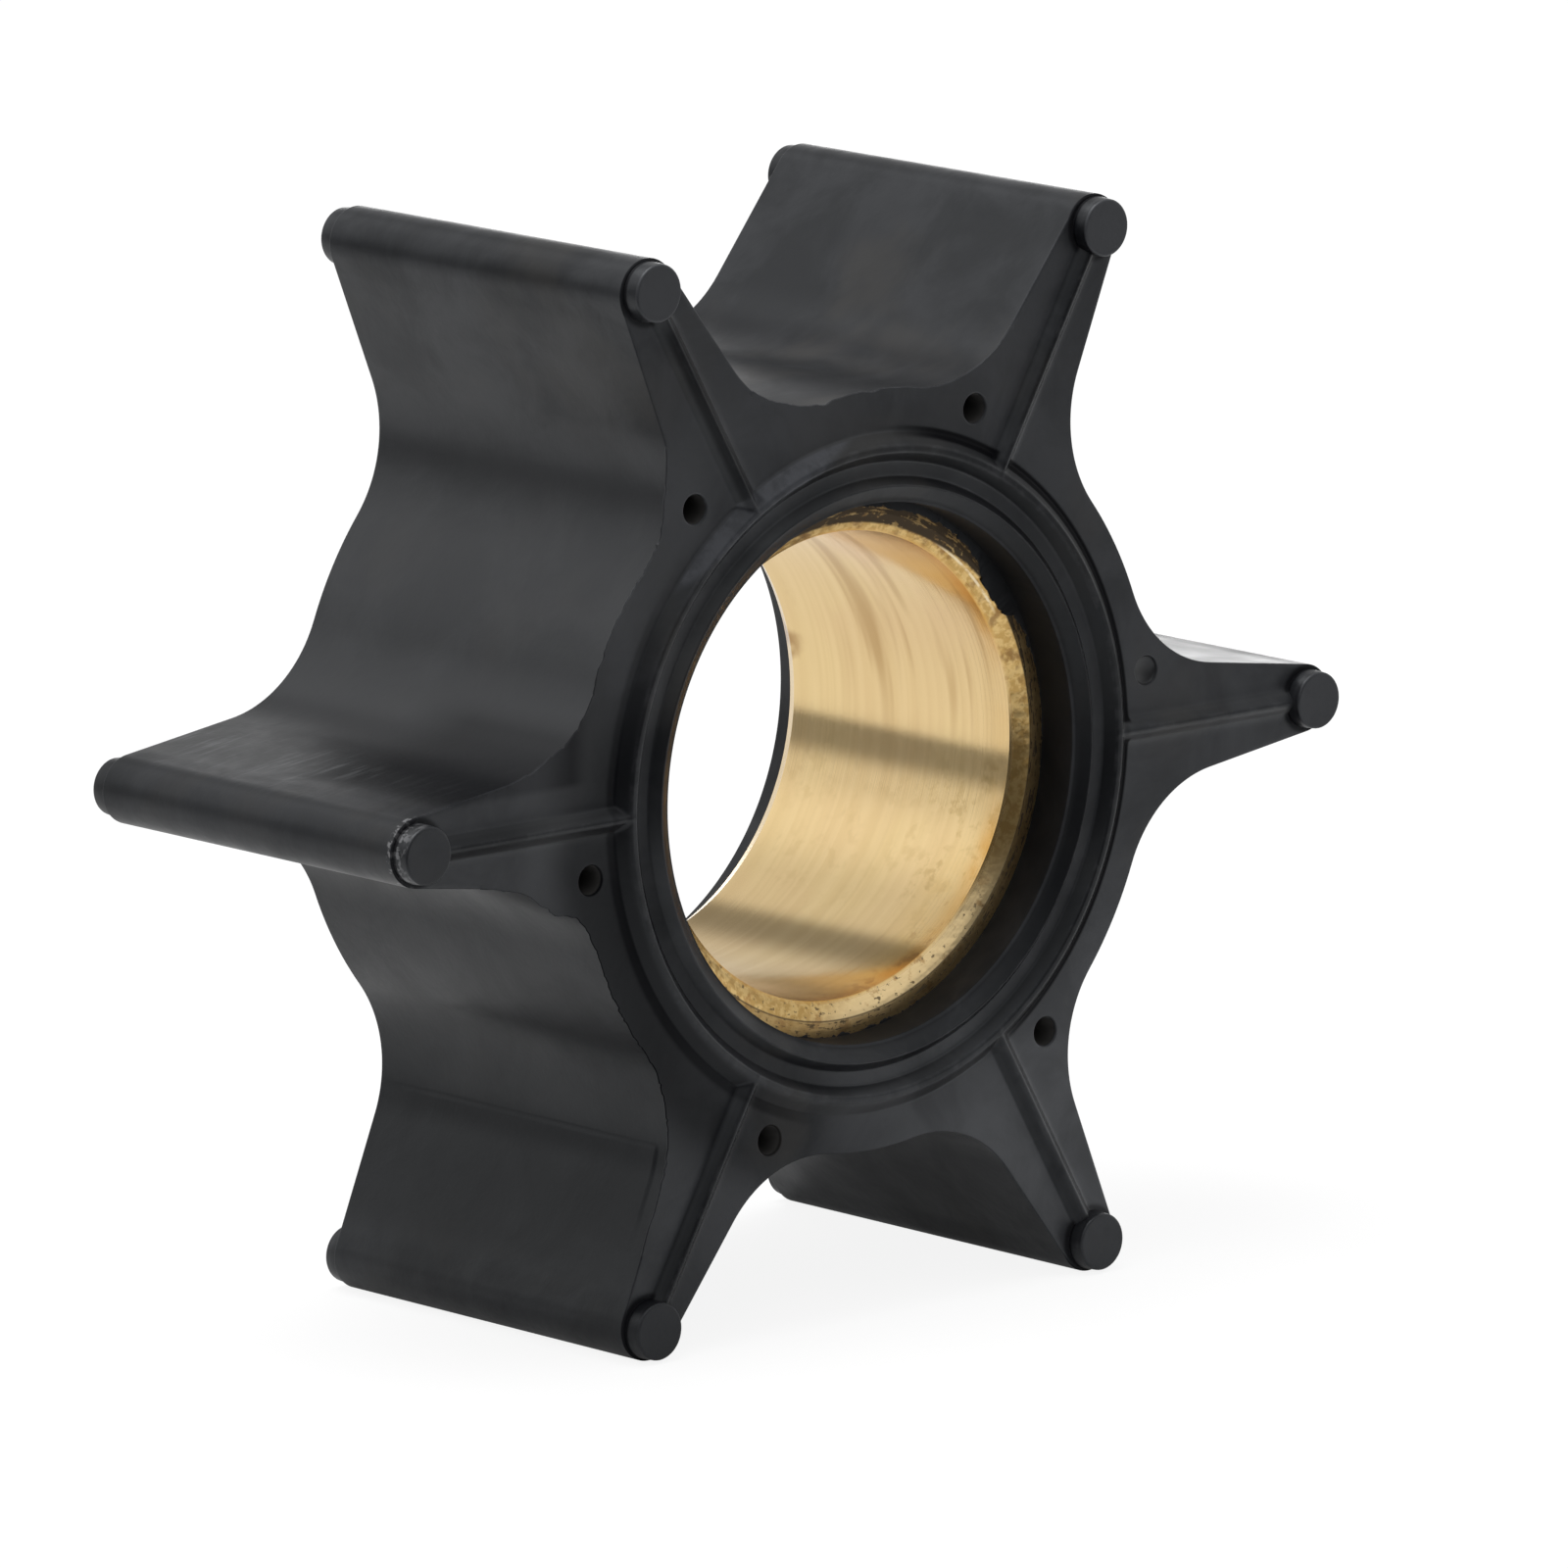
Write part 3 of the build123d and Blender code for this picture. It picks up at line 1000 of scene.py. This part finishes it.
def bush_color(place, turn, cut, cloud, bevel):
    """Colour of the brass: gold, with rosy patches, brown arcs and stains.

    Turned bands blend two golds, and each coat that lies on them has a mask
    of its own. The bevel is painted apart, with a painted highlight at its
    lower right, painted shade in brown between there and its right side, and
    a painted glint round its middle on the upper right.
    """
    _, y, z = coordinates(place)
    off_middle = without_sign(z)
    radius = off_axis(place)
    wide = noise(place, 130.0, 3.0, 0.5, 0.2)
    stain = noise(place, 1000.0, 4.0, 0.6)
    blotch = noise(place, 420.0, 3.0)
    bands = line_noise(cut, 1100.0, 3.0)
    rosy = product(ramp(wide, 0.35, 0.6, 0.35, 1.0), fade(z, 2.0, 10.0, 0.3, 0.9))
    tarnish = product(
        ramp(cloud, 0.36, 0.56, 0.4, 1.0), fade_out(y, -9.0, -3.5),
        fade(off_middle, 5.0, 9.5, 0.12, 0.8),
    )
    arcs = product(
        ramp(polar_noise(turn, cut, (0.7, 560.0), 2.0), 0.50, 0.68, 0.0, 0.65),
        fade(z, -3.0, 4.0, 0.1, 1.0), fade(y, 1.0, 5.0, 1.0, 0.15),
    )
    freckles = product(
        ramp(stain, 0.48, 0.62, 0.0, 0.7), ramp(blotch, 0.40, 0.6, 0.2, 1.0),
        band(z, -8.5, -3.0, 3.0), fade(y, -9.0, -1.0, 1.0, 0.25),
    )
    amber = product(
        band(y, -8.9, -8.5, 1.1), ramp(cloud, 0.35, 0.6, 0.45, 1.0),
        fade(off_middle, 3.0, 7.0, 0.2, 1.0),
    )
    rear = product(fade(y, 6.8, 9.0, 0.0, 0.9), ramp(blotch, 0.48, 0.66), fade(z, -3.0, 2.0))
    flecks = product(ramp(stain, 0.56, 0.66, 0.0, 0.6), fade(z, -6.0, -9.0), fade_out(y, -8.7, -6.0))
    spots = product(bevel, ramp(stain, 0.48, 0.64, 0.0, 0.7), fade(z, -1.0, 5.0))
    # painted glint round the bevel's middle on the upper right
    edge_glint = product(
        band(radius, 13.24, 13.30, 0.06), bevel,
        ramp(stain, 0.40, 0.52, 0.2, 0.75),
        ramp(turn, 0.54, 0.60), ramp(turn, 0.92, 1.05, 1.0, 0.0),
    )
    # painted shade: the bevel browned between its lower right and its right side
    bevel_shade = product(ramp(turn, -0.66, -0.42, 0.0, 0.3), ramp(turn, -0.04, 0.10, 1.0, 0.0))
    flake = ramp(noise(place, 2300.0, 3.0, 0.6, 0.4), 0.42, 0.60)
    # the bevel: a painted highlight at its lower right and painted shade below its right side
    rim = paint(
        mix_colors(flake, BEVEL_DARK, BEVEL_GOLD),
        (toward(place, -62, 10.2, 12.6), BEVEL_HIGHLIGHT), (bevel_shade, BEVEL_SHADE_BROWN),
    )
    gold = mix_colors(ramp(bands, 0.35, 0.65), TURNED_BRASS, BRIGHT_TURNED)
    return paint(
        gold, (rosy, ROSY_BRASS), (tarnish, TARNISH), (arcs, BROWN_ARC), (freckles, FRECKLE),
        (amber, AMBER_EDGE), (bevel, rim), (rear, REAR_STAIN), (flecks, LOW_FLECK), (spots, BROWN_SPOT),
        (edge_glint, PAINTED_EDGE_GLINT),
    )


def bush_grime(z, radius, bevel, front, speck, streak):
    """Mask of the grime on the front end: face, groove outside the bevel, bites in it."""
    upward = ramp(z, 7.0 * MM, 12.8 * MM, 0.0, 0.55 * MM)
    face = product(fade(total(radius, upward), BEVEL_RIM - 0.08, BEVEL_RIM + 0.1), front)
    crust = total(
        streak, product(speck, 0.5), -0.25, fade(z, 2.0, 11.0, 0.0, 0.14),
        fade(z, -12.0, -4.0, -0.04, 0.0),
    )
    thin = fade(z, -12.0, -7.0, 0.34, 0.55)
    crust = greatest(ramp(crust, 0.48, 0.60), thin)
    groove = product(front, band(radius, BEVEL_RIM + 0.02, BEVEL_RIM + 0.06, 0.06), 0.75)
    bites = product(bevel, ramp(speck, 0.61, 0.65, 0.0, 0.8), fade_out(z, -9.0, -7.0))
    return greatest(product(face, crust), groove, bites)


def bush_surface(place):
    """Colour, roughness and height of the turned brass.

    Turning marks run round the bore and the end faces. Tarnish lies in
    patches, and grime clings to the front end face outside the bevel, its
    colour lightened towards the bottom as painted light.
    """
    x, y, z = coordinates(place)
    radius = off_axis(place)
    cut = total(y, radius)
    turn = fold("ARCTAN2", z, x)
    marks = line_noise(cut, 12000.0)
    cloud = noise(place, 260.0, 4.0, 0.6, 0.4)
    speck = noise(place, 2600.0, 3.0, 0.65)
    streak = polar_noise(turn, cut, (9.0, 6000.0))
    front = fade_out(y, 0.4 - BUSH_END, 0.6 - BUSH_END)
    bevel = product(front, fade(radius, BORE_RADIUS + 0.01, BORE_RADIUS + 0.05))
    painted = product(bevel, fade(radius, BEVEL_RIM, BEVEL_RIM + 0.2, 1.0, 0.5))
    dirt = bush_grime(z, radius, bevel, front, speck, streak)
    # the grime's colour is lighter towards the bottom as painted light
    grime = mix_colors(fade(z, -11.0, -4.0), LIT_LOW_GRIME, HIGH_GRIME)
    color = mix_colors(dirt, bush_color(place, turn, cut, cloud, painted), grime)
    roughness = total(ramp(dirt, 0.0, 1.0, BRASS_ROUGHNESS, GRIME_ROUGHNESS), product(bevel, 0.14))
    dents = total(noise(place, 1400.0), -0.5)
    inner = fade(radius, BORE_RADIUS + 0.05, BORE_RADIUS + 0.3)
    height = total(product(marks, MARK_RELIEF), product(dents, bevel, inner, DENT_RELIEF))
    return color, roughness, height


def dress(name, build, metallic, tint):
    """A material whose colour, roughness and relief come from a node group.

    Where the group gives a sheen, it is the strength of the mirror share.
    """
    material = bpy.data.materials.new(name)
    tree, surface = empty_tree(material, "ShaderNodeOutputMaterial")
    labels = ["Color", "Roughness", "Height"] + ([] if metallic else ["Sheen"])
    place = add_node(tree, "ShaderNodeTexCoord").outputs["Object"]
    group = tree.nodes.new("ShaderNodeGroup")
    group.node_tree = surface_group(name + "_surface", build, labels)
    feed(group.inputs["Place"], place)
    bump = add_node(tree, "ShaderNodeBump", {
        "Strength": 1.0, "Distance": MM, "Height": group.outputs["Height"]})
    shader = add_node(tree, "ShaderNodeBsdfPrincipled", {
        "Base Color": group.outputs["Color"], "Roughness": group.outputs["Roughness"],
        "Normal": bump.outputs["Normal"], "Metallic": metallic, "Specular Tint": tint,
    })
    if not metallic:
        feed(shader.inputs["Specular IOR Level"], group.outputs["Sheen"])
    feed(surface, shader.outputs["BSDF"])
    return material


# Stage

def make_camera():
    """Camera on the line of sight of the photograph.

    It stands off its aim against the line of sight, which is turned about Z
    and raised, and its own axes are right, up and out of the picture.
    """
    out = Vector((
        math.sin(CAMERA_TURN) * math.cos(CAMERA_RISE),
        -math.cos(CAMERA_TURN) * math.cos(CAMERA_RISE),
        math.sin(CAMERA_RISE),
    ))
    right = Vector((math.cos(CAMERA_TURN), math.sin(CAMERA_TURN), 0))
    place = (Vector(CAMERA_AIM) + out * CAMERA_DISTANCE) * MM
    data = bpy.data.cameras.new("camera")
    data.lens = CAMERA_LENS
    data.sensor_width = CAMERA_SENSOR
    data.shift_x, data.shift_y = CAMERA_SHIFT
    data.clip_end = 100
    camera = bpy.data.objects.new("camera", data)
    bpy.context.scene.collection.objects.link(camera)
    turned = Matrix((right, out.cross(right), out)).transposed()
    camera.matrix_world = Matrix.Translation(place) @ turned.to_4x4()
    bpy.context.scene.camera = camera


def make_floor():
    """A pale table under the lowest vane tips.

    It ends on the camera's left and right, outside the picture, where the
    room beyond it is darker. The camera sees it lighter than it lights.
    """
    away = np.array([-math.sin(CAMERA_TURN), math.cos(CAMERA_TURN)])
    right = np.array([math.cos(CAMERA_TURN), math.sin(CAMERA_TURN)])
    corners = [
        np.append(right * across + away * depth, TABLE_TOP)
        for across, depth in ((TABLE_LEFT, TABLE_FRONT), (TABLE_RIGHT, TABLE_FRONT),
                              (TABLE_RIGHT, TABLE_BACK), (TABLE_LEFT, TABLE_BACK))
    ]
    floor = mesh_object("floor", np.array(corners), [[0, 1, 2, 3]])
    material = bpy.data.materials.new("pale_floor")
    tree, surface = empty_tree(material, "ShaderNodeOutputMaterial")
    path = add_node(tree, "ShaderNodeLightPath")
    seen = product(path.outputs["Is Camera Ray"], TABLE_SEEN)
    mirrored = product(path.outputs["Is Glossy Ray"], TABLE_MIRRORED)
    diffuse = add_node(tree, "ShaderNodeBsdfDiffuse", {"Color": TABLE_GREY})
    glow = add_node(tree, "ShaderNodeEmission", {"Strength": TABLE_GLOW})
    mix = add_node(tree, "ShaderNodeMixShader", {
        "Fac": total(seen, mirrored), 1: diffuse.outputs["BSDF"], 2: glow.outputs["Emission"]})
    feed(surface, mix.outputs["Shader"])
    floor.data.materials.append(material)


def room_light(tree):
    """Strength of the room's light by direction.

    Low down on the camera's left the room shows dark above the table's edge.
    Two light boxes stand at the back with a dark gap between them, one more
    hangs over the object, and the side that the camera stands on is dark.
    A bright backdrop stands low behind the object, the left side is a little
    brighter high up, and light from under the table is weak.
    """
    source = add_node(tree, "ShaderNodeTexCoord").outputs["Generated"]

    def facing(direction):
        """Cosine of the angle between the ray and a direction."""
        return vector_math("DOT_PRODUCT", source, direction)

    height, gap = facing((0, 0, 1)), facing(ACROSS_GAP)
    room = greatest(ramp(height, 0.07, 0.19, 0.36, 1.0), ramp(facing(ROOM_LEFT), 0.70, 0.92, 1.0, 0.0))
    left_box = total(ramp(gap, 0.02, 0.13, 0.0, 0.64), ramp(gap, 0.35, 0.72, 0.0, 0.32))
    right_box = ramp(gap, -0.27, -0.02, 0.55, 0.0)
    boxes = ramp(greatest(left_box, right_box), 0.0, 1.0, 0.3, 1.0)
    boxes = greatest(
        boxes, ramp(height, 0.15, 0.4, 1.0, 0.0),
        ramp(facing(TOP_BOX), 0.83, 0.93, 0.0, 0.8),
    )
    camera_side = product(ramp(facing(TO_CAMERA), -0.3, 0.5), ramp(height, 0.27, 0.42, 1.0, 0.15))
    behind = product(ramp(facing(ROOM_BACK), 0.93, 0.99), ramp(height, 0.05, 0.24, 1.0, 0.0))
    high_left = product(ramp(gap, 0.45, 0.65, 0.0, 0.07), ramp(height, 0.33, 0.45))
    return product(
        room, boxes,
        ramp(camera_side, 0.0, 1.0, 1.0, 0.12),
        ramp(height, -0.12, -0.02, 0.25, 1.0),
        ramp(behind, 0.0, 1.0, 1.0, 4.6),
        total(high_left, 1.0),
    )


def make_world():
    """Soft light all round, and plain white where the camera sees past the table."""
    world = bpy.data.worlds.new("studio")
    bpy.context.scene.world = world
    tree, surface = empty_tree(world, "ShaderNodeOutputWorld")
    light = add_node(tree, "ShaderNodeBackground", {"Color": WHITE, "Strength": room_light(tree)})
    shown = add_node(tree, "ShaderNodeBackground", {"Color": WHITE})
    path = add_node(tree, "ShaderNodeLightPath")
    mix = add_node(tree, "ShaderNodeMixShader", {
        "Fac": path.outputs["Is Camera Ray"],
        1: light.outputs["Background"], 2: shown.outputs["Background"],
    })
    feed(surface, mix.outputs["Shader"])


def make_lamp():
    """A soft square lamp over the object, aimed at the middle of the bore."""
    data = bpy.data.lights.new("top", "AREA")
    data.shape = "RECTANGLE"
    data.size, data.size_y = LAMP_SIDES[0] * MM, LAMP_SIDES[1] * MM
    data.energy = LAMP_POWER
    lamp = bpy.data.objects.new("top", data)
    bpy.context.scene.collection.objects.link(lamp)
    lamp.location = Vector(LAMP_PLACE) * MM
    lamp.rotation_euler = (-Vector(LAMP_PLACE)).normalized().to_track_quat("-Z", "Y").to_euler()


make_camera()
make_world()
make_floor()
make_lamp()

rubber = make_rubber()
bush = make_bush()
rubber.data.materials.clear()
rubber.data.materials.append(dress("black_moulded_rubber", rubber_surface, 0.0, COOL_MIRROR))
bush.data.materials.append(dress("turned_brass", bush_surface, 1.0, WHITE))
for piece, node, slot in ((rubber, "vane_body", "black_rubber"), (bush, "hub_bush", "bush_brass")):
    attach(piece, "root")
    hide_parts(node)

bpy.context.scene.view_settings.view_transform = "Standard"
